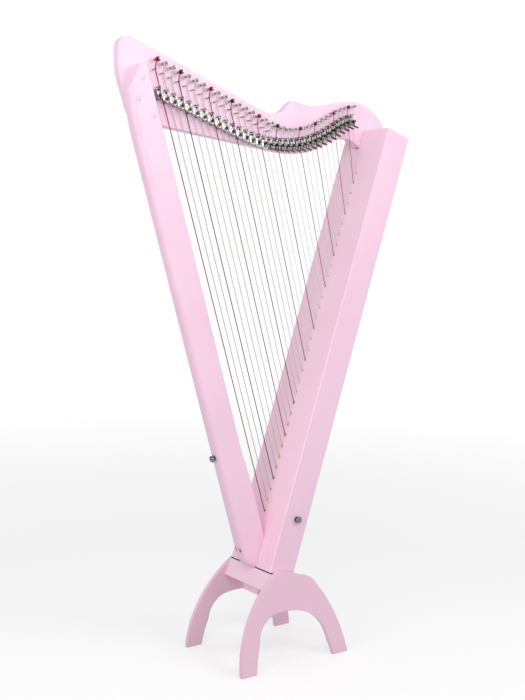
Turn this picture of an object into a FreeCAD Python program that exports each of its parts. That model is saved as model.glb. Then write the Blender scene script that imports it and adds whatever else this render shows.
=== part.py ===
import FreeCAD, Part
import os
from math import atan2, cos, degrees, radians, sin, tan

from FreeCAD import Placement, Rotation, Vector

# A lever harp of thirty-three strings (C2 to G6) on its own low arched stand.
#
# Part frame, in millimetres: +Z up, origin on the floor under the middle of the harp.
# The strings lie in the XZ plane (Y = 0).  +X points from the pillar to the soundbox, and -Y is
# the side that carries the strings and the sharping levers.
#
# Box frame, used for everything that leans with the soundbox: origin at the lowest string hole on
# the soundboard, +Z up along the board, +X from the board to the back, +Y as in the part frame.

SIZES = {
    # soundbox
    "hole_one_x": 21.0,        # lowest string hole, part frame
    "hole_one_z": 319.4,
    "lean": 17.43,             # soundboard from the vertical, degrees
    "box_below": 122.0,        # soundbox below the lowest string hole
    "box_above": 903.0,        # soundbox above the lowest string hole
    "half_width_low": 73.0,
    "half_width_high": 71.0,
    "box_depth": 67.0,
    "board_thick": 4.0,
    "edge_round": 3.0,         # long outer edges of the soundbox
    "back_thick": 4.0,
    "wall_thick": 8.0,
    "tail_high": 44.0,         # block that closes the soundbox at the bottom
    "shoulder_low": 855.0,     # block that closes it at the top
    "neck_low": 862.0,         # lower end of the neck's foot
    "slot_gap": 3.0,           # open end of the slot below the neck's foot
    "rib_thick": 6.0,
    "rib_half_width": 12.0,
    "brace_thick": 9.0,
    "brace_high": 18.0,
    # strings and their holes
    "string_count": 33,
    "hole_pitch": 24.98,
    "bass_eyelets": 11,
    "bass_eyelet_radius": 4.2,
    "bass_hole_radius": 2.6,
    "treble_eyelet_radius": 2.6,
    "treble_hole_radius": 1.7,
    "eyelet_wall": 0.5,
    "eyelet_rim": 0.6,
    "bass_string_radius": 0.95,
    "treble_string_radius": 0.48,
    "string_gap": 0.15,        # between a string and whatever guides it
    # neck and its pins
    "neck_face": 14.0,         # distance of the neck's string side from the strings
    "neck_thick": 20.0,
    "neck_round": 2.5,
    "tuning_pin_radius": 2.4,
    "tuning_pin_out": 22.0,
    "tuning_pin_back": 15.0,
    "tuning_pin_square": 9.0,
    "string_pin_radius": 1.5,
    "string_pin_out": 17.5,
    "string_pin_deep": 9.0,
    "guided_strings": 17,      # strings that also pass a guide pin
    # sharping levers
    "lever_drop": 16.0,        # lever axle below the bridge pin, along the string
    "axle_out": 4.6,           # lever axle in front of the strings
    "axle_radius": 1.2,
    "axle_clearance": 0.07,
    "cam_radius": 3.4,
    "cam_flat": 2.2,
    "lever_screw_radius": 1.2,
    "lever_screw_head": 1.8,
    "lever_arm": 10.2,         # axle to the middle of the finger tab
    "tab_long": 16.5,
    "tab_thick": 3.0,
    "tab_half_width": 2.3,
    "tab_droop": 22.0,         # tab below the horizontal, degrees
    # pillar
    "pillar_lean": 17.67,      # pillar from the vertical, degrees, the other way
    "pillar_thick": 36.0,
    "pillar_half_width": 30.0,
    "pillar_foot_s": -112.0,   # where its centre line meets the soundboard, box frame
    "pillar_end_s": -128.0,    # its lowest point on the soundboard plane
    "pillar_top": 1085.5,
    "pillar_round": 13.0,
    "pillar_back_round": 2.5,
    "pillar_screw_radius": 3.0,
    "plug_radius": 5.0,
    "plug_deep": 5.0,
    "pillar_button_up": 262.5,  # strap button above the pillar's foot
    "foot_screw_s": -95.0,
    "foot_screw_radius": 2.5,
    "foot_screw_head": 4.3,
    # strap buttons
    "button_radius": 7.5,
    "button_neck_radius": 3.2,
    "button_high": 9.5,
    "button_screw_radius": 2.0,
    "button_screw_long": 14.0,
    # stand
    "plate_thick": 9.0,
    "plate_floor_half_width": 110.5,
    "plate_splay": 7.75,       # each side plate from the vertical, degrees
    "pad_thick": 2.5,
    "crossbar_high": 40.0,
    "crossbar_deep": 62.0,
    "cleat_front": 20.0,
    "cleat_deep": 25.0,
    "cleat_half_width": 27.0,
    "cleat_high": 16.0,
    "bolt_radius": 3.0,
    "bolt_head_radius": 6.0,
    "bolt_head_high": 4.0,
    "bolt_bore_radius": 7.5,
    "bolt_bore_deep": 5.5,
    "bolt_spread": 18.0,
}

doc = FreeCAD.newDocument("LeverHarp")
sheet = doc.addObject("Spreadsheet::Sheet", "Sizes")
for row, (alias, value) in enumerate(SIZES.items(), start=1):
    sheet.set("A%d" % row, alias)
    sheet.set("B%d" % row, str(value))
    sheet.setAlias("B%d" % row, alias)
doc.recompute()


def size(alias):
    return float(sheet.get(alias))


NODES = []
NECK_FACE = size("neck_face")
NECK_BACK = NECK_FACE + size("neck_thick")
DEPTH = size("box_depth")
INNER_DEPTH = DEPTH - size("back_thick")
BOX_LOW = -size("box_below")
BOX_HIGH = size("box_above")
HOLE_ONE = Vector(size("hole_one_x"), 0, size("hole_one_z"))
BOX_FRAME = Placement(HOLE_ONE, Rotation(Vector(0, 1, 0), size("lean")))
UPWARD = Vector(0, 0, 1)
TOWARDS_BACK = Vector(0, 1, 0)


# ---------------------------------------------------------------- helpers

def node(item, label):
    """Name a finished sub-part: its label is its file's name."""
    item.Label = label
    NODES.append(item)
    return item


def bind(item, **expressions):
    """Tie properties of a document object to cells of the sheet."""
    for name, expression in expressions.items():
        item.setExpression(name, expression)


def lean_with_box(item):
    """Place an object in the box frame."""
    item.Placement = BOX_FRAME
    item.setExpression("Placement.Base.x", "Sizes.hole_one_x")
    item.setExpression("Placement.Base.z", "Sizes.hole_one_z")
    item.setExpression("Placement.Rotation.Angle", "Sizes.lean")


def in_part(x, y, z):
    """Point of the box frame in the part frame."""
    return BOX_FRAME.multVec(Vector(x, y, z))


def half_width(s):
    """Half width of the soundbox at a height in the box frame."""
    share = (s - BOX_LOW) / (BOX_HIGH - BOX_LOW)
    return size("half_width_low") + share * (size("half_width_high") - size("half_width_low"))


def plane_of(body, role):
    for feature in body.Origin.OriginFeatures:
        if feature.Role == role:
            return feature
    raise ValueError(role)


def sketch_on(body, role, name, offset=0.0):
    """Sketch on one of the body's own origin planes, moved along the plane's normal."""
    sketch = body.newObject("Sketcher::SketchObject", name)
    sketch.AttachmentSupport = [(plane_of(body, role), "")]
    sketch.MapMode = "FlatFace"
    sketch.AttachmentOffset = Placement(Vector(0, 0, offset), Rotation())
    return sketch


def line(start, end):
    return Part.LineSegment(Vector(*start, 0), Vector(*end, 0))


def arc(start, middle, end):
    return Part.Arc(Vector(*start, 0), Vector(*middle, 0), Vector(*end, 0))


def bearing(angle):
    """Unit direction at an angle from a sketch's first axis, in degrees."""
    return (cos(radians(angle)), sin(radians(angle)))


def on_circle(centre, radius, angle):
    across_x, along_y = bearing(angle)
    return (centre[0] + radius * across_x, centre[1] + radius * along_y)


def curve(*points, start=None, end=None):
    """Smooth curve through points; its end directions follow the end points unless given."""
    places = [Vector(*point, 0) for point in points]
    first = Vector(*start, 0) if start else places[1] - places[0]
    last = Vector(*end, 0) if end else places[-1] - places[-2]
    shape = Part.BSplineCurve()
    shape.interpolate(Points=places, InitialTangent=first.normalize(),
                      FinalTangent=last.normalize(), Scale=False)
    return shape


def ring(points):
    """Closed outline of straight sides."""
    return [line(points[i - 1], points[i]) for i in range(len(points))]


def circle(x, y, radius):
    return Part.Circle(Vector(x, y, 0), UPWARD, radius)


def pad(body, sketch, name, expression, backwards=False):
    feature = body.newObject("PartDesign::Pad", name)
    feature.Profile = sketch
    feature.Reversed = backwards
    bind(feature, Length=expression)
    sketch.Visibility = False
    doc.recompute()
    return feature


def pocket(body, sketch, name, expression=None, backwards=False):
    """Cut a sketch into the body, through it all when no depth is given."""
    before = body.Shape.Volume
    feature = body.newObject("PartDesign::Pocket", name)
    feature.Profile = sketch
    feature.Reversed = backwards
    if expression is None:
        feature.Type = "ThroughAll"
    else:
        bind(feature, Length=expression)
    doc.recompute()
    assert body.Shape.Volume < before - 0.01, name + " cuts nothing"
    return feature


def padded_body(label, role, geometry, expression, offset=0.0, backwards=False):
    """Body of one padded outline."""
    body = doc.addObject("PartDesign::Body", label)
    sketch = sketch_on(body, role, label + "_outline", offset)
    sketch.addGeometry(geometry, False)
    pad(body, sketch, label + "_pad", expression, backwards)
    return body


def holes(body, role, name, circles, offset=0.0, expression=None, backwards=False):
    sketch = sketch_on(body, role, name + "_sketch", offset)
    sketch.addGeometry(circles, False)
    return pocket(body, sketch, name, expression, backwards)


def round_edges(body, name, radius_expression, wanted):
    """Fillet the edges of the body's tip that the test picks out."""
    names = []
    for index, edge in enumerate(body.Shape.Edges, start=1):
        if wanted(edge):
            names.append("Edge%d" % index)
    base = body.Tip
    feature = body.newObject("PartDesign::Fillet", name)
    feature.Base = (base, names)
    bind(feature, Radius=radius_expression)
    doc.recompute()
    return feature


def feature_of(label, shape, placement=None):
    """Sub-part whose shape is worked out in code."""
    item = doc.addObject("Part::Feature", label)
    item.Shape = shape
    if placement:
        item.Placement = placement
    return node(item, label)


def rod(radius, start, end):
    return Part.makeCylinder(radius, (end - start).Length, start, end - start)


def block(low, high):
    return Part.makeBox(*(high - low), low)


def hexagon(centre, radius, first, second):
    """Face with six sides, spanned by two directions at right angles."""
    turns = [radians(60 * step) for step in range(7)]
    corners = [centre + (first * cos(turn) + second * sin(turn)) * radius for turn in turns]
    return Part.Face(Part.makePolygon(corners))


# ---------------------------------------------------------------- string layout
# Each row of pins is a smooth curve through a few strings, given as number: (x, z).

TUNING_ROW = {1: (-274.5, 1268.5), 8: (-145.5, 1225), 15: (-20.5, 1182.5), 18: (30, 1166.5),
              20: (62, 1162.5), 22: (93.5, 1167), 25: (135.5, 1181), 29: (188, 1209.5),
              32: (231.5, 1228), 33: (246.5, 1230.5)}
GUIDE_ROW = {1: (-279, 1248.5), 8: (-149.5, 1206.5), 15: (-25, 1165.5), 17: (7.5, 1154)}
BRIDGE_ROW = {1: (-268, 1215), 8: (-141.5, 1177), 15: (-19, 1144.5), 18: (27, 1141),
              22: (89, 1146.5), 25: (134.5, 1159.5), 29: (190, 1188), 32: (229, 1208),
              33: (243.5, 1212)}
NOTES = "CDEFGAB"


def row_curve(row):
    shape = Part.BSplineCurve()
    points = [Vector(x, 0, z) for x, z in row.values()]
    shape.interpolate(Points=points, Parameters=[float(number) for number in row])
    return shape


def left_of(direction):
    """Unit vector in the string plane on the pillar's side of a downward direction."""
    return Vector(direction.z, 0, -direction.x).normalize()


class HarpString:
    """One string with its pins, hole and lever, from the tuning pin down."""

    tuning_curve = row_curve(TUNING_ROW)
    guide_curve = row_curve(GUIDE_ROW)
    bridge_curve = row_curve(BRIDGE_ROW)

    def __init__(self, number):
        self.number = number
        self.note = NOTES[(number - 1) % 7]
        share = (number - 1) / (size("string_count") - 1)
        self.radius = size("bass_string_radius") * (1 - share) + size("treble_string_radius") * share
        self.bass = number <= size("bass_eyelets")
        self.hole_s = (number - 1) * size("hole_pitch")
        self.hole_radius = size("bass_hole_radius" if self.bass else "treble_hole_radius")
        self.tuning_pin = self.tuning_curve.value(float(number))
        self.bridge_pin = self.bridge_curve.value(float(number))
        self.guided = number <= size("guided_strings")
        self.guide_pin = self.guide_curve.value(float(number)) if self.guided else None
        self.route()
        self.place_lever()

    def route(self):
        """Points of the string's centre line, in the part frame."""
        hole = in_part(0, 0, self.hole_s)
        off_pin = size("string_pin_radius") + size("string_gap") + self.radius
        off_tuning_pin = size("tuning_pin_radius") + size("string_gap") + self.radius
        bend = self.guide_pin if self.guided else self.bridge_pin
        bisector = (bend - self.tuning_pin).normalize() + (hole - bend).normalize()
        start = self.tuning_pin + left_of(bend - self.tuning_pin) * off_tuning_pin
        self.points = [start, bend + left_of(bisector) * off_pin]
        self.down = (hole - self.points[1]).normalize()
        self.speaking_start = self.points[1]
        if self.guided:
            # the bridge pin stands against the right of the straight string
            drop = (self.bridge_pin - self.points[1]).dot(self.down)
            self.speaking_start = self.points[1] + self.down * drop
            self.bridge_pin = self.speaking_start - left_of(self.down) * off_pin
        # the string bends over the eyelet's rim and then runs straight through the board
        slope = atan2(self.down.x, -self.down.z)
        angle = slope + radians(size("lean"))
        bore = self.hole_radius - size("eyelet_wall")
        rim = size("eyelet_rim") + 0.1
        mouth = -rim + tan(angle) * bore - self.radius / cos(angle)
        under = size("board_thick") + size("rib_thick")
        self.knot_radius = 1.6 + 1.6 * self.radius
        self.points.append(in_part(mouth, 0, self.hole_s))
        self.points.append(in_part(under + self.knot_radius, 0, self.hole_s))
        self.sounding_length = (self.points[2] - self.speaking_start).Length

    def place_lever(self):
        """Frame of the lever: on the string, +X to its right and +Z up along it."""
        turn = Rotation(TOWARDS_BACK, -degrees(atan2(self.down.x, -self.down.z)))
        self.lever_frame = Placement(self.speaking_start + self.down * size("lever_drop"), turn)


STRINGS = [HarpString(number) for number in range(1, int(size("string_count")) + 1)]


# ---------------------------------------------------------------- soundbox

def box_wall(s_low, s_high, side, thick):
    """Outline of a side wall in the box frame's YZ plane."""
    return ring([
        (side * half_width(s_low), s_low),
        (side * (half_width(s_low) - thick), s_low),
        (side * (half_width(s_high) - thick), s_high),
        (side * half_width(s_high), s_high),
    ])


def box_panel(s_low, s_high, inset):
    """Tapered outline across the whole soundbox."""
    low, high = half_width(s_low) - inset, half_width(s_high) - inset
    return ring([(-low, s_low), (low, s_low), (high, s_high), (-high, s_high)])


def soundboard():
    """Spruce front with a notch for the neck and one hole per string."""
    low, high = size("half_width_low"), size("half_width_high")
    slot = size("neck_low") - size("slot_gap")
    outline = ring([
        (-low, BOX_LOW), (low, BOX_LOW), (high, BOX_HIGH), (NECK_BACK, BOX_HIGH),
        (NECK_BACK, slot), (NECK_FACE, slot), (NECK_FACE, BOX_HIGH), (-high, BOX_HIGH),
    ])
    body = padded_body("soundboard", "YZ_Plane", outline, "Sizes.board_thick")

    def outer_long_edge(edge):
        on_front = edge.BoundBox.XMax < 0.01
        return on_front and edge.Length > LONG_EDGE
    round_edges(body, "soundboard_round", "Sizes.edge_round", outer_long_edge)
    string_holes = [circle(0, item.hole_s, item.hole_radius) for item in STRINGS]
    holes(body, "YZ_Plane", "string_holes", string_holes, backwards=True)
    screws = [circle(y, size("foot_screw_s"), size("foot_screw_radius")) for y in FOOT_SCREWS_Y]
    holes(body, "YZ_Plane", "foot_screw_holes", screws, backwards=True)
    lean_with_box(body)
    return node(body, "soundboard")


def side_wall(label, side):
    board = size("board_thick")
    outline = box_wall(BOX_LOW, BOX_HIGH, side, size("wall_thick"))
    body = padded_body(label, "YZ_Plane", outline, "Sizes.box_depth - Sizes.board_thick", board)

    def outer_back_edge(edge):
        on_back = edge.BoundBox.XMin > DEPTH - 0.01 and edge.Length > LONG_EDGE
        return on_back and abs(edge.CenterOfMass.y) > size("half_width_high") - 1.5
    round_edges(body, label + "_round", "Sizes.edge_round", outer_back_edge)
    if side < 0:
        hole = circle(SIDE_BUTTON[0], SIDE_BUTTON[1], size("button_screw_radius"))
        holes(body, "XZ_Plane", "button_hole", [hole], backwards=True)
    lean_with_box(body)
    return node(body, label)


def back_panel():
    """Back with four long sound holes that a hand reaches through to fit strings."""
    outline = box_panel(BOX_LOW, BOX_HIGH, size("wall_thick"))
    body = padded_body("back_panel", "YZ_Plane", outline, "Sizes.back_thick", INNER_DEPTH)
    slots = []
    for middle in SOUND_HOLES:
        top, low = middle + SOUND_HOLE_LONG / 2, middle - SOUND_HOLE_LONG / 2
        r = SOUND_HOLE_RADIUS
        slots += [
            line((-r, low + r), (-r, top - r)),
            arc((-r, top - r), (0, top), (r, top - r)),
            line((r, top - r), (r, low + r)),
            arc((r, low + r), (0, low), (-r, low + r)),
        ]
    holes(body, "YZ_Plane", "sound_holes", slots, backwards=True)
    lean_with_box(body)
    return node(body, "back_panel")


def tail_block():
    """Hardwood block that closes the box and holds the pillar's screws and the stand's bolts."""
    outline = box_panel(BOX_LOW, BOX_LOW + size("tail_high"), size("wall_thick"))
    inner = "Sizes.box_depth - Sizes.back_thick - Sizes.board_thick"
    body = padded_body("tail_block", "YZ_Plane", outline, inner, size("board_thick"))
    screws = [circle(y, size("foot_screw_s"), size("foot_screw_radius")) for y in FOOT_SCREWS_Y]
    holes(body, "YZ_Plane", "screw_holes", screws, FOOT_SCREW_END, "60")
    bolts = [circle(BOLT_D, y, size("bolt_radius")) for y in BOLTS_Y]
    holes(body, "XY_Plane", "bolt_holes", bolts, BOLT_TOP, "40")
    lean_with_box(body)
    return node(body, "tail_block")


def shoulder_block():
    """Block at the top of the box, slotted for the neck's foot."""
    low = size("shoulder_low")
    outline = box_panel(low, BOX_HIGH, size("wall_thick"))
    inner = "Sizes.box_depth - Sizes.back_thick - Sizes.board_thick"
    body = padded_body("shoulder_block", "YZ_Plane", outline, inner, size("board_thick"))
    slot = size("neck_low") - size("slot_gap")
    notch = ring([
        (NECK_FACE, slot), (NECK_BACK, slot), (NECK_BACK, BOX_HIGH + 1), (NECK_FACE, BOX_HIGH + 1),
    ])
    sketch = sketch_on(body, "YZ_Plane", "neck_slot_sketch")
    sketch.addGeometry(notch, False)
    pocket(body, sketch, "neck_slot", backwards=True)
    lean_with_box(body)
    return node(body, "shoulder_block")


def string_rib():
    """Hardwood strip glued under the soundboard, which the string knots pull against."""
    half = size("rib_half_width")
    low, high = RIB_LOW, RIB_HIGH
    outline = ring([(-half, low), (half, low), (half, high), (-half, high)])
    body = padded_body("string_rib", "YZ_Plane", outline, "Sizes.rib_thick", size("board_thick"))
    string_holes = [circle(0, item.hole_s, item.hole_radius) for item in STRINGS]
    holes(body, "YZ_Plane", "rib_holes", string_holes, backwards=True)
    return body


def inner_bars():
    """String rib under the soundboard and cross bars inside the back."""
    bars = [string_rib()]
    for number, middle in enumerate(BRACES, start=1):
        low = middle - size("brace_high") / 2
        half = half_width(middle) - size("wall_thick") - 0.1
        brace = doc.addObject("Part::Box", "brace_%d" % number)
        bind(brace, Length="Sizes.brace_thick", Height="Sizes.brace_high")
        brace.Width = 2 * half
        brace.Placement.Base = Vector(INNER_DEPTH - size("brace_thick"), -half, low)
        bars.append(brace)
    group = doc.addObject("Part::Compound", "inner_bars")
    group.Links = bars
    lean_with_box(group)
    return node(group, "inner_bars")


def eyelet(item):
    """Rimmed tube in one string hole, in the box frame."""
    rim_radius = size("bass_eyelet_radius" if item.bass else "treble_eyelet_radius")
    rim = size("eyelet_rim")
    place = Vector(0, 0, item.hole_s)
    back = Vector(1, 0, 0)
    flange = Part.makeCylinder(rim_radius, rim, place - back * rim, back)
    flange = flange.makeFillet(rim * 0.6, [edge for edge in flange.Edges if edge.BoundBox.XMax < -0.5])
    tube = Part.makeCylinder(item.hole_radius, size("board_thick"), place, back)
    bore = item.hole_radius - size("eyelet_wall")
    drill = Part.makeCylinder(bore, size("board_thick") + 2, place - back, back)
    return flange.fuse(tube).cut(drill)


# ---------------------------------------------------------------- neck, pins and levers

def neck_outline():
    """Outline of the neck in the part frame, clockwise from its front lower corner."""
    shoulder_tip = in_part(DEPTH - 0.5, 0, BOX_HIGH)
    shoulder = in_part(INNER_DEPTH, 0, BOX_HIGH)
    heel = in_part(INNER_DEPTH, 0, size("neck_low"))
    throat = in_part(0, 0, size("neck_low"))
    shoulder_tip, shoulder, heel, throat = [(point.x, point.z)
                                            for point in (shoulder_tip, shoulder, heel, throat)]
    corner, radius, top_angle = (-332.7, 1282.8), 24, 71.3
    front = on_circle(corner, radius, 180)
    front_top = on_circle(corner, radius, top_angle)
    front_middle = on_circle(corner, radius, (180 + top_angle) / 2)
    dip = (-75, 1220.8)
    low_front, low_middle = (-300, 1144), (0, 1116.3)
    along_top = (dip[0] - front_top[0], dip[1] - front_top[1])
    along_bottom = (low_front[0] - low_middle[0], low_front[1] - low_middle[1])
    return [
        curve(low_front, (-318, 1149), (-329, 1163), (-338, 1188), (-348, 1214), (-354, 1236),
              (-356.5, 1259), front, start=along_bottom, end=(0, 1)),
        arc(front, front_middle, front_top),
        line(front_top, dip),
        curve(dip, (-24, 1203.5), (14, 1194.2), (36, 1194.8), (57, 1206), (72, 1221.5), (84, 1227),
              (97, 1225), (123, 1221.2), (172, 1227.5), (231, 1240.5), (277, 1242),
              (325.5, 1223), (349, 1202.5), (358.5, 1182), shoulder_tip, start=along_top),
        line(shoulder_tip, shoulder),
        line(shoulder, heel),
        line(heel, throat),
        curve(throat, (266, 1150.5), (249, 1156.5), (222, 1157), (190, 1146), (150, 1127),
              (110, 1115.5), (60, 1112), low_middle, start=(-0.72, 0.69), end=along_bottom),
        line(low_middle, low_front),
    ]


def neck():
    """Plank behind the strings, drilled for every pin and screw."""
    body = padded_body("neck", "XZ_Plane", neck_outline(), "Sizes.neck_thick", -NECK_FACE, True)

    def free_outline(edge):
        local = BOX_FRAME.inverse().multVec(edge.CenterOfMass)
        in_soundbox = local.x > 0.1 and local.z < BOX_HIGH + 0.1
        return edge.BoundBox.YLength < 0.01 and not in_soundbox
    round_edges(body, "neck_round", "Sizes.neck_round", free_outline)
    through = [circle(item.tuning_pin.x, item.tuning_pin.z, size("tuning_pin_radius"))
               for item in STRINGS]
    holes(body, "XZ_Plane", "tuning_pin_holes", through, -NECK_FACE + 1)
    blind = []
    for item in STRINGS:
        pins = [item.bridge_pin] + ([item.guide_pin] if item.guided else [])
        blind += [circle(pin.x, pin.z, size("string_pin_radius")) for pin in pins]
        screw = item.lever_frame.multVec(LEVER_SCREW)
        blind.append(circle(screw.x, screw.z, size("lever_screw_radius")))
    holes(body, "XZ_Plane", "string_pin_holes", blind, -NECK_FACE, "Sizes.string_pin_deep")
    screws = [circle(point.x, point.z, size("pillar_screw_radius")) for point in PILLAR_SCREWS]
    holes(body, "XZ_Plane", "pillar_screw_holes", screws, -NECK_FACE, "%g" % PILLAR_SCREW_DEEP)
    return node(body, "neck")


def tuning_pin(item):
    """Pin through the neck: a squared end at the back and a drilled winding end at the front."""
    radius = size("tuning_pin_radius")
    front = NECK_FACE - size("tuning_pin_out")
    back = NECK_BACK + size("tuning_pin_back")
    squared = size("tuning_pin_square")
    place = item.tuning_pin
    shaft = rod(radius, place + TOWARDS_BACK * front, place + TOWARDS_BACK * (back - squared))
    tip = [edge for edge in shaft.Edges if edge.BoundBox.YMax < front + 0.01]
    shaft = shaft.makeFillet(0.8, tip)
    half = radius * 0.72
    low = place + Vector(-half, back - squared, -half)
    return shaft.fuse(block(low, low + Vector(2 * half, squared, 2 * half)))


def string_pin(place):
    """Plain round pin with a softened end."""
    front = NECK_FACE - size("string_pin_out")
    back = NECK_FACE + size("string_pin_deep")
    pin = rod(size("string_pin_radius"), place + TOWARDS_BACK * front, place + TOWARDS_BACK * back)
    tip = [edge for edge in pin.Edges if edge.BoundBox.YMax < front + 0.01]
    return pin.makeFillet(0.6, tip)


def lever_bracket():
    """Fixed half of a sharping lever: a foot on the neck, a fret bar and a cheek for the axle."""
    out = size("axle_out")
    foot = block(Vector(-7, BRACKET_FRONT, -9), Vector(5, NECK_FACE, 13))
    upright = [edge for edge in foot.Edges if edge.BoundBox.XLength > 1 and edge.BoundBox.YMax < 3]
    foot = foot.makeFillet(3, upright)
    fret = block(Vector(-2.6, 1.25, 2.6), Vector(2.6, BRACKET_FRONT, 3.8))
    cheek = block(Vector(2.8, -out, -3.2), Vector(4.6, BRACKET_FRONT, 3.2))
    eye = rod(3.2, Vector(2.8, -out, 0), Vector(4.6, -out, 0))
    bore = size("axle_radius") + size("axle_clearance")
    hole = rod(bore, Vector(2, -out, 0), Vector(6, -out, 0))
    screw_hole = rod(size("lever_screw_radius"), LEVER_SCREW, LEVER_SCREW + TOWARDS_BACK * 14)
    return foot.fuse([fret, cheek, eye]).cut([hole, screw_hole])


def lever_screw():
    """Cap screw that holds a bracket to the neck."""
    front = LEVER_SCREW - TOWARDS_BACK * 2.2
    head = rod(size("lever_screw_head"), front, LEVER_SCREW)
    deep = NECK_FACE + size("string_pin_deep") - LEVER_SCREW.y
    shank = rod(size("lever_screw_radius"), LEVER_SCREW, LEVER_SCREW + TOWARDS_BACK * deep)
    socket = hexagon(front, 0.95, UPWARD, Vector(1, 0, 0)).extrude(TOWARDS_BACK * 1.2)
    return head.fuse(shank).cut(socket)


def lever_handle():
    """Moving half of a sharping lever: cam with a flat, axle, arm and a finger tab that sticks out."""
    out = size("axle_out")
    cam = rod(size("cam_radius"), Vector(-2.6, -out, 0), Vector(2.6, -out, 0))
    flat = block(Vector(-3, size("cam_flat") - out, -4), Vector(3, 2, 4))
    axle = rod(size("axle_radius"), Vector(0, -out, 0), Vector(5.4, -out, 0))
    arm_long = size("lever_arm")
    arm = block(Vector(-1.6, -out - 1.2, -arm_long - 0.5), Vector(1.6, -out + 1.2, -1))
    half, thick = size("tab_half_width"), size("tab_thick")
    tab = block(Vector(-half, -size("tab_long"), -thick / 2), Vector(half, 0, thick / 2))
    corners = [edge for edge in tab.Edges if edge.BoundBox.ZLength > 1]
    tab = tab.makeFillet(half * 0.8, corners)
    rims = [edge for edge in tab.Edges if edge.BoundBox.ZLength < 0.01]
    tab = tab.makeFillet(thick * 0.3, rims)
    droop = Rotation(Vector(1, 0, 0), size("tab_droop"))
    tab.Placement = Placement(Vector(0, 1.9 - out, -arm_long + 0.8), droop)
    return cam.cut(flat).fuse([axle, arm, tab])


# ---------------------------------------------------------------- strings

def string_shape(item):
    """Knot, sounding length, dead length and the winding on the tuning pin, as one solid."""
    radius = item.radius
    path = Part.makePolygon(item.points)
    profile = Part.Wire(Part.makeCircle(radius, item.points[0], item.points[1] - item.points[0]))
    run = path.makePipeShell([profile], True, False, 1)
    knot = Part.makeSphere(item.knot_radius, item.points[-1])
    gap = size("string_gap")
    inner = size("tuning_pin_radius") + gap / 2
    outer = inner + 2 * (gap + radius)
    start = item.tuning_pin - TOWARDS_BACK * (radius + gap)
    turns = 2 * radius * WINDING_TURNS
    winding = Part.makeCylinder(outer, turns, start, TOWARDS_BACK)
    winding = winding.cut(Part.makeCylinder(inner, turns, start, TOWARDS_BACK))
    return run.fuse([winding, knot])


# ---------------------------------------------------------------- pillar

def pillar_point(w, along):
    """Point of the pillar's own axes (across, along) in the box frame's XZ plane."""
    turn = radians(size("lean") + size("pillar_lean"))
    x = w * cos(turn) - along * sin(turn)
    s = w * sin(turn) + along * cos(turn) + size("pillar_foot_s")
    return (x, s)


def pillar_outline():
    turn = radians(size("lean") + size("pillar_lean"))
    half = size("pillar_half_width")
    top = size("pillar_top")
    foot_half = half + 4.5
    heel = (0.0, size("pillar_end_s"))
    toe = pillar_point(foot_half, foot_half / tan(turn))
    left_low, left_high = pillar_point(-half, 34), pillar_point(-half, top - 145)
    right_high, right_low = pillar_point(half, top - 11), pillar_point(half, 262)
    upward = pillar_axis(0, 1)
    upward = (upward.x, upward.z)
    downward = (-upward[0], -upward[1])
    corner = pillar_point(-22.5, top - 42)
    crown_low = pillar_point(6, top - 10.5)
    along_crown = (crown_low[0] - corner[0], crown_low[1] - corner[1])
    return [
        curve(heel, pillar_point(-23, 2), left_low, end=upward),
        line(left_low, left_high),
        curve(left_high, pillar_point(-28, top - 92), corner, start=upward),
        line(corner, crown_low),
        curve(crown_low, pillar_point(19, top - 0.5), right_high, start=along_crown, end=downward),
        line(right_high, right_low),
        curve(right_low, pillar_point(half + 2.2, 226), pillar_point(foot_half, 185), toe,
              start=downward, end=downward),
        line(toe, heel),
    ]


def pillar():
    """Front pillar: lapped on the neck, butted on the soundboard."""
    front = NECK_FACE - size("pillar_thick")
    body = padded_body("pillar_wood", "XZ_Plane", pillar_outline(), "Sizes.pillar_thick", -front, True)

    def leading(edge):
        return edge.BoundBox.YLength < 0.01 and across(edge.CenterOfMass) < -20

    def trailing(edge):
        centre = edge.CenterOfMass
        return edge.BoundBox.YLength < 0.01 and across(centre) > -15 and edge.BoundBox.XLength > 0.01
    round_edges(body, "pillar_round", "Sizes.pillar_round", leading)
    round_edges(body, "pillar_back_round", "Sizes.pillar_back_round", trailing)
    plugs, screws = [], []
    for point in PILLAR_SCREWS:
        local = BOX_FRAME.inverse().multVec(point)
        plugs.append(circle(local.x, local.z, size("plug_radius")))
        screws.append(circle(local.x, local.z, size("pillar_screw_radius")))
    holes(body, "XZ_Plane", "plug_holes", plugs, -front, "Sizes.plug_deep + 4")
    holes(body, "XZ_Plane", "screw_holes", screws, -front)
    heads = [circle(y, size("foot_screw_s"), size("foot_screw_head")) for y in FOOT_SCREWS_Y]
    holes(body, "YZ_Plane", "foot_screw_bores", heads, FOOT_SCREW_HEAD_D, "40")
    shanks = [circle(y, size("foot_screw_s"), size("foot_screw_radius")) for y in FOOT_SCREWS_Y]
    holes(body, "YZ_Plane", "foot_screw_holes", shanks)
    lean_with_box(body)
    bore = doc.addObject("Part::Cylinder", "button_bore")
    bind(bore, Height="Sizes.button_screw_long + 2", Radius="Sizes.button_screw_radius")
    inward = BOX_FRAME.Rotation.multVec(pillar_axis(1, 0))
    bore.Placement = Placement(PILLAR_BUTTON, Rotation(UPWARD, inward))
    drilled = doc.addObject("Part::Cut", "pillar")
    drilled.Base = body
    drilled.Tool = bore
    return node(drilled, "pillar")


def pillar_axis(w, along):
    """Direction across and along the pillar, in the box frame."""
    origin = pillar_point(0, 0)
    tip = pillar_point(w, along)
    return Vector(tip[0] - origin[0], 0, tip[1] - origin[1]).normalize()


def across(point):
    """Distance of a box-frame point from the pillar's centre line."""
    origin = pillar_point(0, 0)
    offset = Vector(point.x - origin[0], 0, point.z - origin[1])
    return offset.dot(pillar_axis(1, 0))


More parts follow.
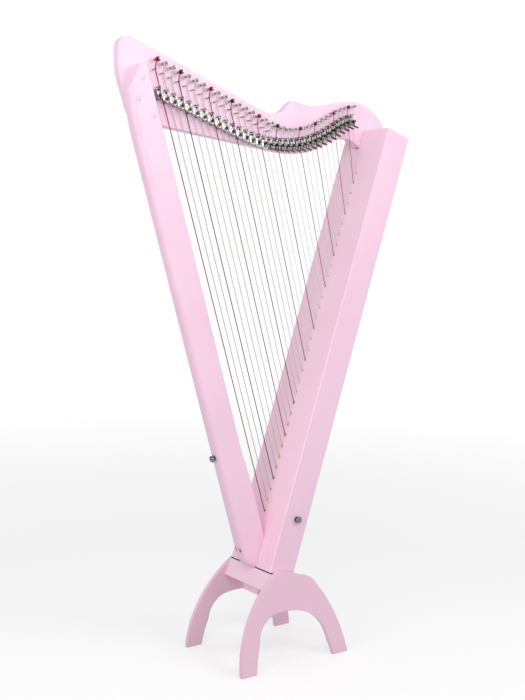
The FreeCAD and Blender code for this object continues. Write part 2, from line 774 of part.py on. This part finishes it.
def strap_button():
    """Flared metal strap button with its screw, standing on z = 0."""
    radius, high = size("button_radius"), size("button_high")
    neck_radius = size("button_neck_radius")
    base = Part.makeCylinder(radius * 0.8, 1.5)
    neck = Part.makeCylinder(neck_radius, high)
    flare = Part.makeCone(neck_radius, radius, high * 0.3, Vector(0, 0, high * 0.4))
    cap = Part.makeCylinder(radius, high * 0.3, Vector(0, 0, high * 0.7))
    rim = [edge for edge in cap.Edges if edge.BoundBox.ZMin > high - 0.01]
    cap = cap.makeFillet(high * 0.2, rim)
    screw_long = size("button_screw_long")
    screw = Part.makeCylinder(size("button_screw_radius"), screw_long, Vector(0, 0, -screw_long))
    return base.fuse([neck, flare, cap, screw])


def pillar_screw(point):
    """Countersunk wood screw from the pillar into the neck."""
    seat = NECK_FACE - size("pillar_thick") + size("plug_deep") + 4
    base = Vector(point.x, seat, point.z)
    end = Vector(point.x, NECK_FACE + PILLAR_SCREW_DEEP - 1, point.z)
    head = rod(size("plug_radius"), base - TOWARDS_BACK * 3, base)
    return head.fuse(rod(size("pillar_screw_radius"), base, end))


def screw_plug(point):
    """Domed wooden plug over a screw head."""
    front = NECK_FACE - size("pillar_thick")
    base = Vector(point.x, front, point.z)
    plug = rod(size("plug_radius"), base, base + TOWARDS_BACK * (size("plug_deep") + 1))
    dome_radius = size("plug_radius") * 1.6
    rise = dome_radius - (dome_radius ** 2 - size("plug_radius") ** 2) ** 0.5
    dome = Part.makeSphere(dome_radius, base + Vector(0, dome_radius - rise, 0))
    keep = block(base + Vector(-20, -rise - 1, -20), base + Vector(20, 0, 20))
    return plug.fuse(dome.common(keep))


def foot_screw(y):
    """Long screw through the pillar's foot and the soundboard into the tail block."""
    s = size("foot_screw_s")
    head_start = Vector(FOOT_SCREW_HEAD_D - 3, y, s)
    seat = Vector(FOOT_SCREW_HEAD_D, y, s)
    head = rod(size("foot_screw_head"), head_start, seat)
    return head.fuse(rod(size("foot_screw_radius"), seat, Vector(FOOT_SCREW_END - 0.5, y, s)))


# ---------------------------------------------------------------- stand

def arch_outline():
    """Arched side plate seen square on, in the part frame; the floor cuts its feet level."""
    below = -5
    return [
        line((-111, below), (-111, 5)),
        arc((-111, 5), (-89, 105), (-5, 203)),
        arc((-5, 203), (0, 206), (6, 206.5)),
        line((6, 206.5), (70, 187)),
        arc((70, 187), (88, 180), (101, 167)),
        arc((101, 167), (157, 80), (182, 4)),
        line((182, 4), (182, below)),
        line((182, below), (142, below)),
        arc((142, below), (137.5, 15), (130, 32)),
        arc((130, 32), (102, 86), (48, 114.5)),
        arc((48, 114.5), (12, 118.5), (-22, 115)),
        arc((-22, 115), (-48, 98), (-60, 62)),
        arc((-60, 62), (-69, 25), (-73, below)),
        line((-73, below), (-111, below)),
    ]


def inner_half_width(z):
    """Half distance between the side plates at a height."""
    thick = size("plate_thick") / cos(radians(size("plate_splay")))
    return size("plate_floor_half_width") - thick - z * tan(radians(size("plate_splay")))


def stand_plate(label, side):
    """Splayed arch plate: the arch as seen square on, kept where it meets a leaning slab."""
    arch = padded_body(label + "_arch", "XZ_Plane", arch_outline(), "300", 150, True)
    thick = size("plate_thick") / cos(radians(size("plate_splay")))
    low, high = 0.0, ABOVE_STAND
    profile = ring([
        (side * inner_half_width(low), low), (side * (inner_half_width(low) + thick), low),
        (side * (inner_half_width(high) + thick), high), (side * inner_half_width(high), high),
    ])
    slab = padded_body(label + "_slab", "YZ_Plane", profile, "500", -250)
    plate = doc.addObject("Part::Common", label)
    plate.Base = arch
    plate.Tool = slab
    return node(plate, label)


def stand_crossbar():
    """Deep bar between the plates: its front is flush with the soundboard."""
    top = BOX_LOW - size("pad_thick")
    low = top - size("crossbar_high")
    outline = ring([(-100, low), (100, low), (100, top), (-100, top)])
    bar = padded_body("crossbar_bar", "YZ_Plane", outline, "Sizes.crossbar_deep")
    bolts = [circle(BOLT_D, y, size("bolt_radius")) for y in BOLTS_Y]
    holes(bar, "XY_Plane", "crossbar_bolts", bolts, top + 1)
    lean_with_box(bar)
    low, high = 100.0, ABOVE_STAND
    room = ring([
        (-inner_half_width(low), low), (inner_half_width(low), low),
        (inner_half_width(high), high), (-inner_half_width(high), high),
    ])
    between = padded_body("between_plates", "YZ_Plane", room, "500", -250)
    bar_between = doc.addObject("Part::Common", "stand_crossbar")
    bar_between.Base = bar
    bar_between.Tool = between
    return node(bar_between, "stand_crossbar")


def stand_pad():
    """Felt between the soundbox and the crossbar."""
    low, top = BOX_LOW - size("pad_thick"), BOX_LOW
    half = size("half_width_low")
    outline = ring([(-half, low), (half, low), (half, top), (-half, top)])
    body = padded_body("stand_pad", "YZ_Plane", outline, "Sizes.crossbar_deep")
    bolts = [circle(BOLT_D, y, size("bolt_radius")) for y in BOLTS_Y]
    holes(body, "XY_Plane", "pad_bolts", bolts, top + 1)
    lean_with_box(body)
    return node(body, "stand_pad")


def stand_cleat():
    """Small block under the crossbar that spreads the bolts' pull."""
    top = BOX_LOW - size("pad_thick") - size("crossbar_high")
    low = top - size("cleat_high")
    half = size("cleat_half_width")
    outline = ring([(-half, low), (half, low), (half, top), (-half, top)])
    body = padded_body("stand_cleat", "YZ_Plane", outline, "Sizes.cleat_deep", size("cleat_front"))
    bolts = [circle(BOLT_D, y, size("bolt_radius")) for y in BOLTS_Y]
    holes(body, "XY_Plane", "cleat_bolts", bolts, top + 1)
    bores = [circle(BOLT_D, y, size("bolt_bore_radius")) for y in BOLTS_Y]
    holes(body, "XY_Plane", "bolt_head_bores", bores, low + size("bolt_bore_deep"))
    lean_with_box(body)
    return node(body, "stand_cleat")


def stand_bolt(y):
    """Hexagon bolt, its head sunk in the cleat, up into the tail block."""
    cleat_low = BOX_LOW - size("pad_thick") - size("crossbar_high") - size("cleat_high")
    seat = Vector(BOLT_D, y, cleat_low + size("bolt_bore_deep"))
    bottom = seat - UPWARD * size("bolt_head_high")
    head = hexagon(bottom, size("bolt_head_radius"), Vector(1, 0, 0), TOWARDS_BACK)
    head = head.extrude(seat - bottom)
    return head.fuse(rod(size("bolt_radius"), seat, Vector(BOLT_D, y, BOLT_TOP - 0.5)))


# ---------------------------------------------------------------- places worked out from the sizes

PILLAR_MIDDLE_Y = NECK_FACE - size("pillar_thick") / 2
FOOT_SCREWS_Y = (PILLAR_MIDDLE_Y - 7, PILLAR_MIDDLE_Y + 7)
FOOT_SCREW_HEAD_D = -30.0
FOOT_SCREW_END = 36.0
PILLAR_SCREW_DEEP = 14.0
PILLAR_SCREWS = [Vector(-322.5, 0, 1223.5), Vector(-331, 0, 1182.5), Vector(-295.5, 0, 1153)]
button_x, button_s = pillar_point(-size("pillar_half_width") - 0.02, size("pillar_button_up"))
PILLAR_BUTTON = in_part(button_x, PILLAR_MIDDLE_Y, button_s)
SIDE_BUTTON = (34.0, 3.0)
LONG_EDGE = 900.0
ABOVE_STAND = 230.0
BOLT_D = size("cleat_front") + size("cleat_deep") / 2
BOLTS_Y = (-size("bolt_spread"), size("bolt_spread"))
BOLT_TOP = BOX_LOW + 30
SOUND_HOLES = (20, 225, 430, 635)
SOUND_HOLE_LONG = 120
SOUND_HOLE_RADIUS = 32
BRACES = (122.5, 327.5, 532.5, 737.5)
RIB_LOW, RIB_HIGH = -40.0, 846.0
BRACKET_FRONT = 2.5
LEVER_SCREW = Vector(-2.9, BRACKET_FRONT, 11)
WINDING_TURNS = 3

# ---------------------------------------------------------------- build

soundboard()
side_wall("side_wall_left", -1)
side_wall("side_wall_right", 1)
back_panel()
tail_block()
shoulder_block()
inner_bars()
feature_of("string_eyelets", Part.makeCompound([eyelet(item) for item in STRINGS]), BOX_FRAME)
neck()
feature_of("tuning_pins", Part.makeCompound([tuning_pin(item) for item in STRINGS]))
pin_places = [item.bridge_pin for item in STRINGS]
pin_places += [item.guide_pin for item in STRINGS if item.guided]
feature_of("string_pins", Part.makeCompound([string_pin(place) for place in pin_places]))

bracket, screw, handle = lever_bracket(), lever_screw(), lever_handle()


def at_lever(shape, item):
    copy = shape.copy()
    copy.Placement = item.lever_frame
    return copy


feature_of("lever_brackets", Part.makeCompound([at_lever(bracket, item) for item in STRINGS]))
feature_of("lever_screws", Part.makeCompound([at_lever(screw, item) for item in STRINGS]))
for item in STRINGS:
    feature_of("lever_%02d" % item.number, handle, item.lever_frame)

STRING_SETS = {
    "strings_red": [item for item in STRINGS if item.note == "C"],
    "strings_black": [item for item in STRINGS if item.note == "F"],
    "strings_wound": [item for item in STRINGS if item.note not in "CF" and item.number <= 14],
    "strings_nylon": [item for item in STRINGS if item.note not in "CF" and item.number > 14],
}
for label, members in STRING_SETS.items():
    feature_of(label, Part.makeCompound([string_shape(item) for item in members]))

pillar()
wood_screws = [pillar_screw(point) for point in PILLAR_SCREWS]
wood_screws += [foot_screw(y).transformed(BOX_FRAME.toMatrix()) for y in FOOT_SCREWS_Y]
feature_of("pillar_screws", Part.makeCompound(wood_screws))
feature_of("screw_plugs", Part.makeCompound([screw_plug(point) for point in PILLAR_SCREWS]))

outward = BOX_FRAME.Rotation.multVec(pillar_axis(-1, 0))
on_pillar = Placement(PILLAR_BUTTON, Rotation(UPWARD, outward))
wall_side = -half_width(SIDE_BUTTON[1]) - 0.05
on_wall = Placement(in_part(SIDE_BUTTON[0], wall_side, SIDE_BUTTON[1]),
                    Rotation(UPWARD, -TOWARDS_BACK))
buttons = []
for place in (on_pillar, on_wall):
    button = strap_button()
    button.Placement = place.multiply(button.Placement)
    buttons.append(button)
feature_of("strap_buttons", Part.makeCompound(buttons))

stand_plate("stand_plate_left", -1)
stand_plate("stand_plate_right", 1)
stand_crossbar()
stand_pad()
stand_cleat()
feature_of("stand_bolts", Part.makeCompound([stand_bolt(y) for y in BOLTS_Y]), BOX_FRAME)

# ---------------------------------------------------------------- check and write

doc.recompute()
for item in doc.Objects:
    assert "Invalid" not in item.State and "Error" not in item.State, item.Label + " failed"
os.makedirs("parts", exist_ok=True)
whole = FreeCAD.BoundBox()
for item in NODES:
    shape = item.Shape
    assert not shape.isNull() and shape.isValid() and shape.Volume > 0, item.Label + " is not sound"
    shape.exportStep("parts/%s.step" % item.Label)
    whole.add(shape.BoundBox)
print(len(NODES), "nodes;", "box", whole)
for item in STRINGS:
    if item.number in (1, 15, 33):
        print(item.number, "sounding length %.0f" % item.sounding_length)
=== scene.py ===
import math

import bmesh
import bpy
from mathutils import Matrix, Vector


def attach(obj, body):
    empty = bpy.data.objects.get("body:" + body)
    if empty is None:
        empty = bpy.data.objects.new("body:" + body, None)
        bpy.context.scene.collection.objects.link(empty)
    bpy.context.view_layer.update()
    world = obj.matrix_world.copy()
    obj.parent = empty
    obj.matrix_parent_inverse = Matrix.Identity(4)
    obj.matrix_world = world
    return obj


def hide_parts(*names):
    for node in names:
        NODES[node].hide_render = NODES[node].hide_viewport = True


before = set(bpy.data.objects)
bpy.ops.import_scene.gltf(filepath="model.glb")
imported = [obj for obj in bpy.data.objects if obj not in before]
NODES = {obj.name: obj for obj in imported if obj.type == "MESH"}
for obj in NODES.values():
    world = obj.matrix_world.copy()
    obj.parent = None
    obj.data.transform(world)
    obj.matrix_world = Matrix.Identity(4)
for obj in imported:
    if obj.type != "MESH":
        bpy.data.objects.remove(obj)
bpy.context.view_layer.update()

SCENE = bpy.context.scene
LEAN = math.radians(17.43)          # soundboard from the vertical
PILLAR_LEAN = math.radians(17.67)   # pillar from the vertical, the other way
NECK_TURN = math.radians(80)        # neck's grain from the vertical
LEVEL = math.radians(90)            # grain that lies along X


# ---------------------------------------------------------------- camera

SENSOR_WIDTH = 36                   # millimetres, as the lens length is
VIEW_DISTANCE = 100                 # metres that the camera sees


def aim_camera(place, yaw, pitch, roll, lens):
    """Camera from its place in metres, its angles in degrees and its lens in millimetres."""
    yaw, pitch, roll = (math.radians(angle) for angle in (yaw, pitch, roll))
    forward = Vector((-math.sin(yaw) * math.cos(pitch),
                      math.cos(yaw) * math.cos(pitch),
                      -math.sin(pitch)))
    level = Vector((math.cos(yaw), math.sin(yaw), 0))
    upright = level.cross(forward)
    right = level * math.cos(roll) + upright * math.sin(roll)
    up = upright * math.cos(roll) - level * math.sin(roll)
    camera = bpy.data.objects.new("camera", bpy.data.cameras.new("camera"))
    SCENE.collection.objects.link(camera)
    rotation = Matrix((right, up, -forward)).transposed().to_4x4()
    camera.matrix_world = Matrix.Translation(place) @ rotation
    camera.data.lens = lens
    camera.data.sensor_width = SENSOR_WIDTH
    camera.data.clip_end = VIEW_DISTANCE
    SCENE.camera = camera


aim_camera(place=Vector((-1.3693, -1.8108, 0.8849)),
           yaw=-37.159, pitch=5.141, roll=1.515, lens=53.59)


# ---------------------------------------------------------------- materials

EVEN = (1, 1, 1)                    # pattern of the same size along all three axes
EDGE_RADIUS = 0.0022                # how far the lacquered edges look rounded
WAVE_PERIOD = 2 * math.pi / 20      # length of one band of the wave pattern, unscaled
PIN_TURN_PITCH = 0.0016             # between the turns of a string on its pin
WRAP_PITCH = 0.0018                 # between the turns of wire on a wound string


def scaled(colour, share):
    return tuple(channel * share for channel in colour)


class Shader:
    """A node material built around one Principled shader."""

    def __init__(self, name):
        self.material = bpy.data.materials.new(name)
        self.material.use_nodes = True
        self.tree = self.material.node_tree
        self.surface = self.tree.nodes["Principled BSDF"]

    def node(self, kind, **settings):
        made = self.tree.nodes.new(kind)
        for key, value in settings.items():
            if hasattr(made, key):
                setattr(made, key, value)
            else:
                made.inputs[key].default_value = value
        return made

    def link(self, output, target):
        self.tree.links.new(output, target)

    def set(self, **values):
        for key, value in values.items():
            self.surface.inputs[key.replace("_", " ")].default_value = value

    def place(self, scale=EVEN, turn=0.0):
        """Object coordinates turned about Y and scaled."""
        coordinates = self.node("ShaderNodeTexCoord")
        mapping = self.node("ShaderNodeMapping", vector_type="POINT")
        mapping.inputs["Rotation"].default_value = (0, turn, 0)
        stretch = self.node("ShaderNodeVectorMath", operation="MULTIPLY")
        stretch.inputs[1].default_value = scale
        self.link(coordinates.outputs["Object"], mapping.inputs["Vector"])
        self.link(mapping.outputs[0], stretch.inputs[0])
        return stretch.outputs[0]

    def noise(self, vector, scale, detail, roughness=0.5, distortion=0.0):
        made = self.node("ShaderNodeTexNoise", Scale=scale, Detail=detail,
                         Roughness=roughness, Distortion=distortion)
        self.link(vector, made.inputs["Vector"])
        return made.outputs["Fac"]

    def ramp(self, factor, *stops):
        """Map 0..1 through two (position, value) stops."""
        made = self.node("ShaderNodeValToRGB")
        for element, (position, value) in zip(made.color_ramp.elements, stops):
            element.position = position
            element.color = (value, value, value, 1)
        self.link(factor, made.inputs["Fac"])
        return made.outputs["Color"]

    def mix(self, factor, first, second):
        """Blend of two colours, each a tuple or a node's output."""
        made = self.node("ShaderNodeMix", data_type="RGBA")
        for value, socket in ((factor, 0), (first, 6), (second, 7)):
            target = made.inputs[socket]
            if isinstance(value, bpy.types.NodeSocket):
                self.link(value, target)
            elif isinstance(value, tuple):
                target.default_value = (*value, 1)
            else:
                target.default_value = value
        return made.outputs[2]

    def soft_edge(self, radius):
        """Normal that makes sharp edges look rounded over a radius."""
        return self.node("ShaderNodeBevel", samples=6, Radius=radius).outputs["Normal"]

    def bump(self, height, strength, distance, previous=None):
        """Normal raised by a height pattern, on top of a previous normal."""
        made = self.node("ShaderNodeBump", Strength=strength, Distance=distance)
        self.link(height, made.inputs["Height"])
        if previous:
            self.link(previous, made.inputs["Normal"])
        return made.outputs["Normal"]


def painted_wood(name, colour, turn=0.0, rough=0.36, grain=0.25):
    """Satin lacquer over close-grained wood: the grain shows through as faint long ripples."""
    shader = Shader(name)
    grain_lines = shader.noise(shader.place((9, 9, 0.55), turn), 60, 5, 0.6, 0.2)
    broad = shader.noise(shader.place(), 5, 2)
    light = scaled(colour, 1.03)
    dark = tuple(channel * share for channel, share in zip(colour, (0.975, 0.95, 0.965)))
    tone = shader.mix(shader.ramp(broad, (0.35, 0.0), (0.65, 1.0)), dark, light)
    streak = shader.ramp(grain_lines, (0.38, 0.0), (0.62, 1.0))
    faint = shader.mix(streak, scaled(colour, 0.985), light)
    streak_share = 0.35
    shader.link(shader.mix(streak_share, tone, faint), shader.surface.inputs["Base Color"])
    polish = shader.noise(shader.place(), 22, 3)
    shader.link(shader.ramp(polish, (0.3, rough - 0.05), (0.7, rough + 0.07)),
                shader.surface.inputs["Roughness"])
    orange_peel = shader.noise(shader.place(), 420, 2)
    normal = shader.bump(grain_lines, grain, 0.0002, shader.soft_edge(EDGE_RADIUS))
    normal = shader.bump(orange_peel, 0.12, 0.0001, normal)
    shader.link(normal, shader.surface.inputs["Normal"])
    shader.set(Specular_IOR_Level=0.45, Coat_Weight=0.16, Coat_Roughness=0.12)
    return shader.material


def bare_wood(name, colour, turn=0.0):
    """Unfinished wood inside the box."""
    shader = Shader(name)
    rings = shader.noise(shader.place((7, 7, 0.4), turn), 40, 6, 0.62, 0.6)
    shader.link(shader.mix(shader.ramp(rings, (0.3, 0.0), (0.7, 1.0)),
                           scaled(colour, 0.68), colour),
                shader.surface.inputs["Base Color"])
    shader.link(shader.bump(rings, 0.4, 0.0003), shader.surface.inputs["Normal"])
    shader.set(Roughness=0.62)
    return shader.material


def metal(name, colour, rough, scratch=0.15, wear=0.12):
    """Metal with fine scratches and patches of duller plating."""
    shader = Shader(name)
    patches = shader.noise(shader.place(), 130, 3)
    shader.link(shader.mix(shader.ramp(patches, (0.35, 0.0), (0.7, 1.0)),
                           scaled(colour, 1 - wear), colour),
                shader.surface.inputs["Base Color"])
    lines = shader.noise(shader.place((1, 6, 1)), 900, 2)
    shader.link(shader.ramp(patches, (0.3, rough), (0.75, rough + 0.12)),
                shader.surface.inputs["Roughness"])
    shader.link(shader.bump(lines, scratch, 0.00005), shader.surface.inputs["Normal"])
    shader.set(Metallic=1.0)
    return shader.material


def string_coat(name, colour, rough, pitch=None):
    """String: turns on its pin show as fine ribs, and a pitch adds a wound string's wrap."""
    shader = Shader(name)
    tint = shader.noise(shader.place(), 45, 2)
    shader.link(shader.mix(tint, scaled(colour, 0.82), colour),
                shader.surface.inputs["Base Color"])
    ribs = shader.node("ShaderNodeTexWave", wave_type="BANDS", bands_direction="Y", Scale=1.0)
    across_ribs = (1, WAVE_PERIOD / (pitch or PIN_TURN_PITCH), 1)
    shader.link(shader.place(across_ribs), ribs.inputs["Vector"])
    normal = shader.bump(ribs.outputs["Fac"], 0.5, 0.0003)
    if pitch:
        wrap = shader.noise(shader.place((400, 400, 2600), -LEAN), 1.0, 1)
        normal = shader.bump(wrap, 0.2, 0.0001, normal)
    shader.link(normal, shader.surface.inputs["Normal"])
    shader.set(Roughness=rough, Specular_IOR_Level=0.2)
    return shader.material


def felt(name, colour):
    """Matted fibres that scatter the light."""
    shader = Shader(name)
    fibres = shader.noise(shader.place(), 1500, 6, 0.7, 1.5)
    shader.link(shader.mix(fibres, colour, scaled(colour, 1.9)),
                shader.surface.inputs["Base Color"])
    shader.link(shader.bump(fibres, 0.8, 0.0005), shader.surface.inputs["Normal"])
    shader.set(Roughness=0.95, Specular_IOR_Level=0.2, Sheen_Weight=0.05, Sheen_Roughness=0.5)
    return shader.material


PINK = (0.93, 0.63, 0.79)
# neck: the same pink paint made lighter, painted light where the levers and pins shade it
NECK_PINK_PAINTED_LIGHT = (0.95, 0.655, 0.82)
# soundboard: the same pink paint made lighter, painted light on the box's shadier face
BOARD_PINK_PAINTED_LIGHT = (0.95, 0.65, 0.785)
# stand: the same pink paint made darker, painted shade low down by the floor
STAND_PINK_PAINTED_SHADE = (0.865, 0.565, 0.705)
# crossbar and cleat: the same pink paint made lighter, painted light on their shaded front low
# down
CROSSBAR_PINK_PAINTED_LIGHT = (0.96, 0.67, 0.79)
MATERIALS = {
    "neck": painted_wood("pink_lacquer_neck_painted_light", NECK_PINK_PAINTED_LIGHT, NECK_TURN),
    "pillar": painted_wood("pink_lacquer_pillar", PINK, PILLAR_LEAN),
    "side_wall_left": painted_wood("pink_lacquer_box", PINK, -LEAN),
    "stand_plate_left": painted_wood("pink_lacquer_stand_painted_shade", STAND_PINK_PAINTED_SHADE),
    "stand_crossbar": painted_wood("pink_lacquer_crossbar_painted_light", CROSSBAR_PINK_PAINTED_LIGHT, LEVEL),
    "soundboard": painted_wood("pink_lacquer_soundboard_painted_light", BOARD_PINK_PAINTED_LIGHT, -LEAN,
                               rough=0.42, grain=0.5),
    "tail_block": bare_wood("bare_maple", (0.62, 0.45, 0.28), LEVEL),
    "inner_bars": bare_wood("bare_spruce", (0.68, 0.52, 0.33), -LEAN),
    "string_eyelets": metal("brass_eyelet", (0.78, 0.60, 0.32), 0.22),
    "tuning_pins": metal("plated_pin", (0.42, 0.38, 0.37), 0.22),
    "lever_brackets": metal("plated_bracket", (0.36, 0.34, 0.325), 0.24, scratch=0.25),
    "lever_screws": metal("black_screw", (0.025, 0.024, 0.026), 0.35),
    "levers": metal("lever_chrome", (0.80, 0.80, 0.79), 0.10, scratch=0.08, wear=0.06),
    # treble levers: the same chrome with its colour darkened, painted shade
    "small_levers": metal("lever_chrome_painted_shade", (0.22, 0.20, 0.19), 0.16,
                          scratch=0.08, wear=0.15),
    # strap buttons: chrome with its colour darkened, a painted dark reflection
    "strap_buttons": metal("button_chrome", (0.20, 0.20, 0.205), 0.07,
                           scratch=0.05, wear=0.05),
    "strings_red": string_coat("string_red", (0.24, 0.003, 0.03), 0.4),
    "strings_black": string_coat("string_black", (0.008, 0.008, 0.03), 0.4),
    "strings_wound": string_coat("string_wound", (0.60, 0.60, 0.55), 0.5, WRAP_PITCH),
    "strings_nylon": string_coat("string_nylon", (0.76, 0.77, 0.77), 0.35),
    # black felt made darker still: partly its own colour, partly painted shade in the gap
    # under the soundbox
    "stand_pad": felt("black_felt_and_painted_shade", (0.004, 0.0035, 0.004)),
}
SAME_AS = {
    "side_wall_right": "side_wall_left",
    "back_panel": "side_wall_left",
    "shoulder_block": "side_wall_left",
    "stand_plate_right": "stand_plate_left",
    "stand_cleat": "stand_crossbar",
    "screw_plugs": "pillar",
    "string_pins": "tuning_pins",
    "pillar_screws": "lever_screws",
    "stand_bolts": "lever_screws",
}


# ---------------------------------------------------------------- CAD surfaces

LAST_LARGE_LEVER = 15               # the levers after it get a darker chrome colour, painted shade
SHARPEST_SMOOTH_EDGE = math.radians(32)
WELD_GAP = 0.000002                 # vertices closer than this are one


def smoothing_nodes(angle):
    """Nodes that join a CAD mesh's split faces and shade it smooth up to an edge angle."""
    group = bpy.data.node_groups.new("soften", "GeometryNodeTree")
    group.interface.new_socket("Geometry", in_out="INPUT", socket_type="NodeSocketGeometry")
    group.interface.new_socket("Geometry", in_out="OUTPUT", socket_type="NodeSocketGeometry")
    nodes, links = group.nodes, group.links
    start, end = nodes.new("NodeGroupInput"), nodes.new("NodeGroupOutput")
    weld = nodes.new("GeometryNodeMergeByDistance")
    weld.inputs["Distance"].default_value = WELD_GAP
    faces = nodes.new("GeometryNodeSetShadeSmooth")
    edges = nodes.new("GeometryNodeSetShadeSmooth")
    edges.domain = "EDGE"
    corner = nodes.new("GeometryNodeInputMeshEdgeAngle")
    sharp = nodes.new("FunctionNodeCompare")
    sharp.operation = "GREATER_THAN"
    sharp.inputs[1].default_value = angle
    smooth = nodes.new("FunctionNodeBooleanMath")
    smooth.operation = "NOT"
    links.new(start.outputs[0], weld.inputs["Geometry"])
    links.new(weld.outputs[0], faces.inputs["Geometry"])
    links.new(faces.outputs[0], edges.inputs["Geometry"])
    links.new(corner.outputs["Unsigned Angle"], sharp.inputs[0])
    links.new(sharp.outputs[0], smooth.inputs[0])
    links.new(smooth.outputs[0], edges.inputs["Shade Smooth"])
    links.new(edges.outputs[0], end.inputs[0])
    return group


def material_of(name):
    if name.startswith("lever_") and name[-2:].isdigit():
        large = int(name[-2:]) <= LAST_LARGE_LEVER
        return MATERIALS["levers" if large else "small_levers"]
    return MATERIALS[SAME_AS.get(name, name)]


SOFTEN = smoothing_nodes(SHARPEST_SMOOTH_EDGE)
for name, item in NODES.items():
    item.data.materials.clear()
    item.data.materials.append(material_of(name))
    item.modifiers.new("soften", "NODES").node_group = SOFTEN


# ---------------------------------------------------------------- felt under the soundbox

EDGE_INSET = 0.0006                 # how far the felt's sides draw in from the CAD pad's
LONG_CELLS, ACROSS_CELLS, ROWS = 96, 40, 4


def ripple(step):
    """Unevenness of the felt's lip at a step around it, of about -0.6 to 0.6."""
    return 0.35 * math.sin(step * 0.83) + 0.25 * math.sin(step * 2.17 + 1.3)


def felt_strip():
    """Pressed felt: a thin slab whose free edges swell out in soft, slightly uneven lips."""
    lean = Matrix.Rotation(LEAN, 4, "Y")
    leaned = [lean.inverted() @ vertex.co for vertex in NODES["stand_pad"].data.vertices]
    start = Vector([min(point[axis] for point in leaned) for axis in range(3)])
    end = Vector([max(point[axis] for point in leaned) for axis in range(3)])
    size = end - start
    middle = (start + end) / 2
    outline = [(i / ACROSS_CELLS, 0) for i in range(ACROSS_CELLS)]
    outline += [(1, j / LONG_CELLS) for j in range(LONG_CELLS)]
    outline += [(1 - i / ACROSS_CELLS, 1) for i in range(ACROSS_CELLS)]
    outline += [(0, 1 - j / LONG_CELLS) for j in range(LONG_CELLS)]
    work = bmesh.new()
    rings = []
    for row in range(ROWS + 1):
        height = row / ROWS
        swell = math.sin(math.pi * height)
        ring = []
        for step, (u, v) in enumerate(outline):
            inset = EDGE_INSET * (1.4 - swell * (1 + 0.3 * ripple(step)))
            x = middle.x + (u - 0.5) * size.x * (1 - inset / (size.x / 2))
            y = middle.y + (v - 0.5) * size.y * (1 - inset / (size.y / 2))
            ring.append(work.verts.new(lean @ Vector((x, y, start.z + size.z * height))))
        rings.append(ring)
    count = len(outline)
    for below, above in zip(rings, rings[1:]):
        for i in range(count):
            after = (i + 1) % count
            work.faces.new((below[i], below[after], above[after], above[i]))
    work.faces.new(reversed(rings[0]))
    work.faces.new(rings[-1])
    work.normal_update()
    mesh = bpy.data.meshes.new("felt")
    work.to_mesh(mesh)
    work.free()
    for polygon in mesh.polygons:
        polygon.use_smooth = len(polygon.vertices) == 4
    piece = bpy.data.objects.new("felt_strip", mesh)
    SCENE.collection.objects.link(piece)
    mesh.materials.append(MATERIALS["stand_pad"])
    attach(piece, "frame")
    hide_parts("stand_pad")


felt_strip()


# ---------------------------------------------------------------- studio

AMBIENT = 0.46                      # strength of the light from all around
PAPER_DROP = 0.0004                 # the paper lies this far under the feet
PAPER_TONES = ((0.46, 0.46, 0.46), (0.47, 0.47, 0.47))
GLOW_NEAR, GLOW_FAR = 0.53, 0.78    # the paper's own light at the harp and away from it
NEAR, FAR, RAMP_SPAN = 1.0, 4.0, 10.0   # metres from the harp's middle


def area_light(name, place, target, size, power):
    """Rectangular light of a size in metres and a power in watts."""
    light = bpy.data.lights.new(name, "AREA")
    light.shape = "RECTANGLE"
    light.size, light.size_y = size
    light.energy = power
    item = bpy.data.objects.new(name, light)
    SCENE.collection.objects.link(item)
    item.location = place
    item.rotation_euler = (Vector(target) - Vector(place)).to_track_quat("-Z", "Y").to_euler()


def floor():
    """Round pale floor that sweeps up into a backdrop far away on every side."""
    flat, bend, rise, steps, sides = 9.0, 3.0, 6.0, 16, 96
    profile = [(flat + bend * math.sin(turn), bend * (1 - math.cos(turn)))
               for turn in (math.pi / 2 * step / steps for step in range(steps + 1))]
    profile.append((flat + bend, rise))
    points = [Vector((0, 0, -PAPER_DROP))]
    points += [Vector((reach * math.cos(turn), reach * math.sin(turn), height - PAPER_DROP))
               for reach, height in profile
               for turn in (2 * math.pi * side / sides for side in range(sides))]
    faces = [(0, 1 + side, 1 + (side + 1) % sides) for side in range(sides)]
    for ring in range(len(profile) - 1):
        inner, outer = 1 + ring * sides, 1 + (ring + 1) * sides
        faces += [(inner + side, outer + side, outer + after, inner + after)
                  for side, after in ((side, (side + 1) % sides) for side in range(sides))]
    mesh = bpy.data.meshes.new("floor")
    mesh.from_pydata(points, [], faces)
    mesh.shade_smooth()
    item = bpy.data.objects.new("floor", mesh)
    SCENE.collection.objects.link(item)
    shader = Shader("floor_paper")
    speck = shader.noise(shader.place(), 60, 3)
    shader.link(shader.mix(speck, *PAPER_TONES), shader.surface.inputs["Base Color"])
    distance = shader.node("ShaderNodeVectorMath", operation="LENGTH")
    shader.link(shader.place(scaled(EVEN, 1 / RAMP_SPAN)), distance.inputs[0])
    glow = shader.ramp(distance.outputs["Value"],
                       (NEAR / RAMP_SPAN, GLOW_NEAR), (FAR / RAMP_SPAN, GLOW_FAR))
    shader.link(glow, shader.surface.inputs["Emission Color"])
    shader.set(Roughness=0.9, Specular_IOR_Level=0.1, Emission_Strength=1.0)
    mesh.materials.append(shader.material)
    item.visible_diffuse = False


floor()
area_light("key", (-1.45, -1.9, 2.2), (0, 0, 1.0), (1.3, 1.3), 21)
area_light("front", (0.75, -1.75, 1.75), (0.1, 0, 1.0), (1.2, 1.2), 15)
area_light("left", (-2.0, -0.7, 0.9), (0, 0, 0.5), (1.0, 1.4), 12)
area_light("top", (0.0, 0.3, 3.2), (0, 0, 0.8), (2.5, 2.5), 16)
world = bpy.data.worlds.new("studio")
world.use_nodes = True
background = world.node_tree.nodes["Background"]
background.inputs["Color"].default_value = (1, 1, 1, 1)
background.inputs["Strength"].default_value = AMBIENT
SCENE.world = world
SCENE.view_settings.view_transform = "Standard"
SCENE.view_settings.look = "None"
